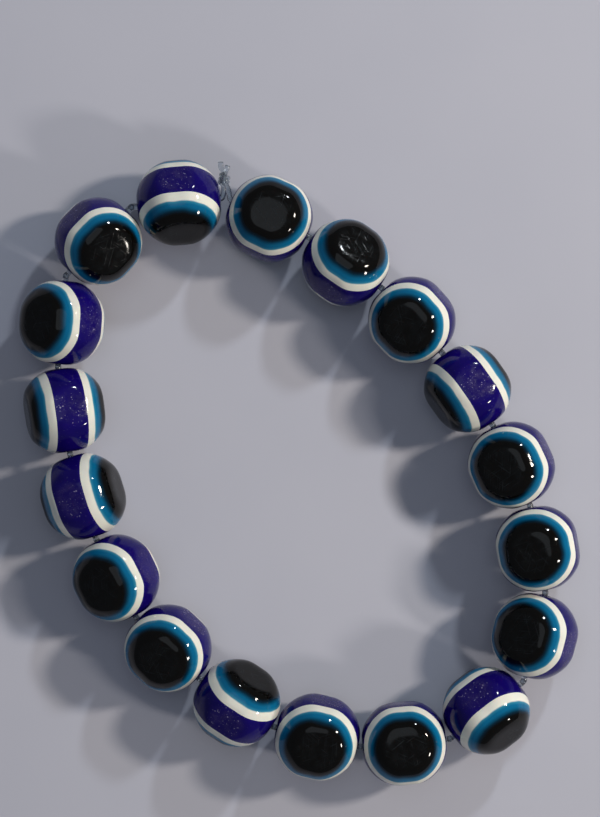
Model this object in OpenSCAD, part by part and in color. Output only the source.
// Evil eye bead bracelet: eighteen laminated resin beads strung on one clear elastic cord.
// Millimetres. The ring lies flat on Z = 0 and its box is centred on X = 0, Y = 0.

/* [Bead] */
// Length of a bead along its bore
bead_l = 9.6; // [9:0.1:14]
// Width of a bead across its bore, from rounded corner to rounded corner
bead_d = 9.8; // [9.4:0.1:14]
// Thickness of a bead through its two eyes, flat to flat
eye_t = 8.8; // [7.8:0.1:9.2]
// Width of a bead between the two flats on its cobalt band
band_w = 9.3; // [8:0.1:9.4]
// Radius of the tumbled rounding at both ends of a bead
round_r = 4; // [3:0.1:4.4]
// Diameter of the bore through the cobalt core
bore_d = 1.3; // [1:0.1:2]

/* [Layers] */
// Thickness of the cobalt core between the two white layers
core_t = 3.6; // [2.6:0.1:4.4]
// Thickness of each white layer
white_t = 0.75; // [0.3:0.05:0.9]
// Thickness of each turquoise layer; the black cap takes the rest up to the eye's flat
blue_t = 0.95; // [0.4:0.05:1.1]
// Thickness of the bond line between two layers
bond_t = 0.02; // [0.01:0.01:0.05]

/* [Cord] */
// Diameter of the elastic cord
cord_d = 0.7; // [0.5:0.1:0.9]
// Space left between two beads where their rounded ends come closest
bead_gap = 0.06; // [0.04:0.02:0.3]
// Further space beside each of the two beads at the knot
knot_room = 0.2; // [0.1:0.05:0.6]

/* [Knot] */
// Diameter of the tightened knot
knot_d = 1.6; // [1.2:0.1:1.7]
// Distance from the cord's line out to the middle of the knot
knot_out = 2.7; // [2.6:0.1:3.2]
// Length of each trimmed end of the cord, from the middle of the knot
tail_l = 2.4; // [1.5:0.1:4]
// Angle that each trimmed end spreads away from the knot's own direction
tail_spread = 24; // [15:1:35]

/* [Hidden] */
$fn = 72;
BEADS = 18;

// Bend in degrees from each bead to the next, counter-clockwise from the knot. Beads 1 and 2 close
// the ring, so the first, second and last bends are worked out, and these are the room they start with.
BENDS = [42, 39, 13, 9, 10, 19, 11, 20, 18, 33, 38, 24, 15, 10, 8, 12, 10, 31];
// Degrees that each bead's upper eye leans towards the middle of the ring
LEANS = [58, 32, -38, -75, 75, -30, -20, 63, -15, -3, -55, 28, 13, 18, 78, 18, -32, -10];
// Direction of the third bead's bore, down the left side of the ring
third_turn = -95;

// Every bend opens or closes to this one when the ring is drawn out round
round_bend = 360 / BEADS;
// Space between two stretches of cord where a bend brings them closest
cord_gap = 0.1;
// Middles of the rounding arcs, along the bore and away from it
arc_along = bead_l / 2 - round_r;
arc_away = bead_d / 2 - round_r;
// Heights above the middle of the bead at which the layers start
white_from = core_t / 2 + bond_t;
blue_from = white_from + white_t + bond_t;
black_from = blue_from + blue_t + bond_t;

function along(turn) = [cos(turn), sin(turn)];
function direction(v) = atan2(v.y, v.x);
function wrapped(angle) = angle - 360 * round(angle / 360);
function bend(n, bends) = bends[(n + BEADS - 1) % BEADS];

// Distance from a bead's middle to the pivot of bend n, at which the rounded ends just miss
function room_in(n, bends) =
    let (half = max(bend(n, bends), round_bend) / 2)
    arc_along + arc_away * tan(half) + round_r / cos(half) + bead_gap / 2
    + (n % BEADS == 0 ? knot_room : 0);
function pitch(n, bends) = room_in(n - 1, bends) + room_in(n, bends);

// Beads 3 to 18: [direction of the bore, pivot before the bead], from the pivot of bend 2
function chain(bends) = [
    for (n = 3, turn = third_turn, at = [0, 0];
         n <= BEADS + 1;
         at = at + pitch(n, bends) * along(turn), turn = turn + bend(n, bends), n = n + 1)
    [turn, at]
];
// Beads 1 and 2 are two links of known pitch that close the gap left between the chain's ends:
// [direction of bead 1, direction of bead 2, pivot between them]
function closing(bends) =
    let (
        chain_end = chain(bends)[BEADS - 2][1],
        opening = norm(chain_end),
        first = pitch(1, bends),
        second = pitch(2, bends),
        first_turn = direction(-chain_end) - acos((first ^ 2 + opening ^ 2 - second ^ 2) / (2 * first * opening)),
        first_end = chain_end + first * along(first_turn)
    )
    [first_turn, direction(-first_end), first_end];
// All bends, with the three that the closing links leave
function closed(bends) =
    let (links = closing(bends), last_turn = chain(bends)[BEADS - 3][0])
    [
        for (n = [1 : BEADS])
            n == 1 ? wrapped(links[1] - links[0])
            : n == 2 ? wrapped(third_turn - links[1])
            : n == BEADS ? wrapped(links[0] - last_turn)
            : bend(n, bends)
    ];
// The bends that the beads are given room for, widened until the closing links' own bends fit in
FITTING_STEPS = 12;
function fitted(bends, steps) =
    let (own = closed(bends))
    steps == 0 ? bends : fitted([for (k = [0 : BEADS - 1]) max(bends[k], own[k])], steps - 1);

ROOM_BENDS = fitted(BENDS, FITTING_STEPS);
CHAIN = chain(ROOM_BENDS);
LINKS = closing(ROOM_BENDS);
function room(n) = room_in(n, ROOM_BENDS);
// How far short of a bend's pivot each stretch of cord ends
cord_short = cord_d / 2 * tan(max(ROOM_BENDS) / 2) + cord_gap;

// For beads 1 to 18: direction of the bore, and the pivot before the bead
TURNS = concat([LINKS[0], LINKS[1]], [for (k = [0 : BEADS - 3]) CHAIN[k][0]]);
PIVOTS = concat([CHAIN[BEADS - 2][1], LINKS[2]], [for (k = [0 : BEADS - 3]) CHAIN[k][1]]);
MIDDLES = [for (n = [1 : BEADS]) PIVOTS[n - 1] + room(n - 1) * along(TURNS[n - 1])];

// Half the width of a leaning bead as seen from above: its rounded corner, or one of its flats
flat_ends = [acos(eye_t / bead_d), 90 - acos(band_w / bead_d)];
function half_width(lean) =
    let (a = 90 - abs(lean))
    bead_d / 2 * cos(max(flat_ends[0] - a, a - flat_ends[1], 0));
// How far a bead reaches from its middle in a direction that is turned from its bore
function reach(n, turn) =
    arc_along * abs(cos(turn)) + (half_width(LEANS[n - 1]) - round_r) * abs(sin(turn)) + round_r;
function reaches(axis, side) = [
    for (n = [1 : BEADS]) side * MIDDLES[n - 1][axis] + reach(n, TURNS[n - 1] - 90 * axis)
];
function centre(axis) = (max(reaches(axis, 1)) - max(reaches(axis, -1))) / 2;
box_centre = [centre(0), centre(1)];

// Bend at the knot, between the last bead and the first
knot_bend = wrapped(TURNS[0] - TURNS[BEADS - 1]);

// Puts what is drawn along X at the bead's own place: X is its bore, +Y points into the ring
module at_bead(n) {
    middle = MIDDLES[n - 1] - box_centre;
    translate([middle.x, middle.y, bead_d / 2]) rotate([0, 0, TURNS[n - 1]]) children();
}

// Half of a bead's lengthwise section, with X away from the bore and Y along it
module bead_section() {
    intersection() {
        union() {
            square([2 * arc_away, bead_l], center = true);
            square([bead_d, 2 * arc_along], center = true);
            for (side = [-1, 1]) translate([arc_away, side * arc_along]) circle(round_r);
        }
        translate([bore_d / 2, -bead_l]) square([bead_d, 2 * bead_l]);
    }
}

// One layer of the laminate, from one height on the eye axis Z, ground to the bead's outline
module layer(from, thick) {
    intersection() {
        rotate([0, 90, 0]) rotate_extrude() bead_section();
        translate([-bead_l, -band_w / 2, from]) cube([2 * bead_l, band_w, thick]);
    }
}

// The cobalt layer in the middle, with the bore through it
module bead_core(n) {
    color("#160a70") at_bead(n) rotate([-LEANS[n - 1], 0, 0]) layer(-core_t / 2, core_t);
}

// White, turquoise and black layers bonded to both faces of the core
module bead_eyes(n) {
    at_bead(n) rotate([-LEANS[n - 1], 0, 0]) for (side = [0, 180]) rotate([side, 0, 0]) {
        color("#e4e2d8") layer(white_from, white_t);
        color("#1487ae") layer(blue_from, blue_t);
        color("#0b0a0a") layer(black_from, eye_t / 2 - black_from);
    }
}

// The stretch of elastic cord that runs through one bead, ending short of the pivots beside it
module cord(n) {
    from = -room(n - 1) + cord_short;
    to = room(n) - cord_short;
    color("#d9dde0") at_bead(n) translate([from, 0, 0]) rotate([0, 90, 0]) cylinder(h = to - from, d = cord_d);
}

// The knot outside the ring at the first bead, its leg from the cord and its two trimmed ends
module cord_knot() {
    leg_start = -room(0) + cord_short;
    knot_at = [-room(0) - knot_out * sin(knot_bend / 2), -knot_out * cos(knot_bend / 2)];
    leg = knot_at - [leg_start, 0];
    color("#d9dde0") at_bead(1) {
        translate([leg_start, 0, 0]) rotate([0, 0, direction(leg)]) rotate([0, 90, 0])
            cylinder(h = norm(leg), d = cord_d);
        translate([knot_at.x, knot_at.y, 0]) {
            sphere(d = knot_d);
            for (side = [-1, 1]) rotate([0, 0, -90 - knot_bend / 2 + side * tail_spread]) rotate([0, 90, 0])
                cylinder(h = tail_l, d = cord_d);
        }
    }
}

cord(1);  // cord_01
cord(2);  // cord_02
cord(3);  // cord_03
cord(4);  // cord_04
cord(5);  // cord_05
cord(6);  // cord_06
cord(7);  // cord_07
cord(8);  // cord_08
cord(9);  // cord_09
cord(10);  // cord_10
cord(11);  // cord_11
cord(12);  // cord_12
cord(13);  // cord_13
cord(14);  // cord_14
cord(15);  // cord_15
cord(16);  // cord_16
cord(17);  // cord_17
cord(18);  // cord_18
cord_knot();
bead_core(1);  // bead_01_core
bead_core(2);  // bead_02_core
bead_core(3);  // bead_03_core
bead_core(4);  // bead_04_core
bead_core(5);  // bead_05_core
bead_core(6);  // bead_06_core
bead_core(7);  // bead_07_core
bead_core(8);  // bead_08_core
bead_core(9);  // bead_09_core
bead_core(10);  // bead_10_core
bead_core(11);  // bead_11_core
bead_core(12);  // bead_12_core
bead_core(13);  // bead_13_core
bead_core(14);  // bead_14_core
bead_core(15);  // bead_15_core
bead_core(16);  // bead_16_core
bead_core(17);  // bead_17_core
bead_core(18);  // bead_18_core
bead_eyes(1);  // bead_01_eyes
bead_eyes(2);  // bead_02_eyes
bead_eyes(3);  // bead_03_eyes
bead_eyes(4);  // bead_04_eyes
bead_eyes(5);  // bead_05_eyes
bead_eyes(6);  // bead_06_eyes
bead_eyes(7);  // bead_07_eyes
bead_eyes(8);  // bead_08_eyes
bead_eyes(9);  // bead_09_eyes
bead_eyes(10);  // bead_10_eyes
bead_eyes(11);  // bead_11_eyes
bead_eyes(12);  // bead_12_eyes
bead_eyes(13);  // bead_13_eyes
bead_eyes(14);  // bead_14_eyes
bead_eyes(15);  // bead_15_eyes
bead_eyes(16);  // bead_16_eyes
bead_eyes(17);  // bead_17_eyes
bead_eyes(18);  // bead_18_eyes
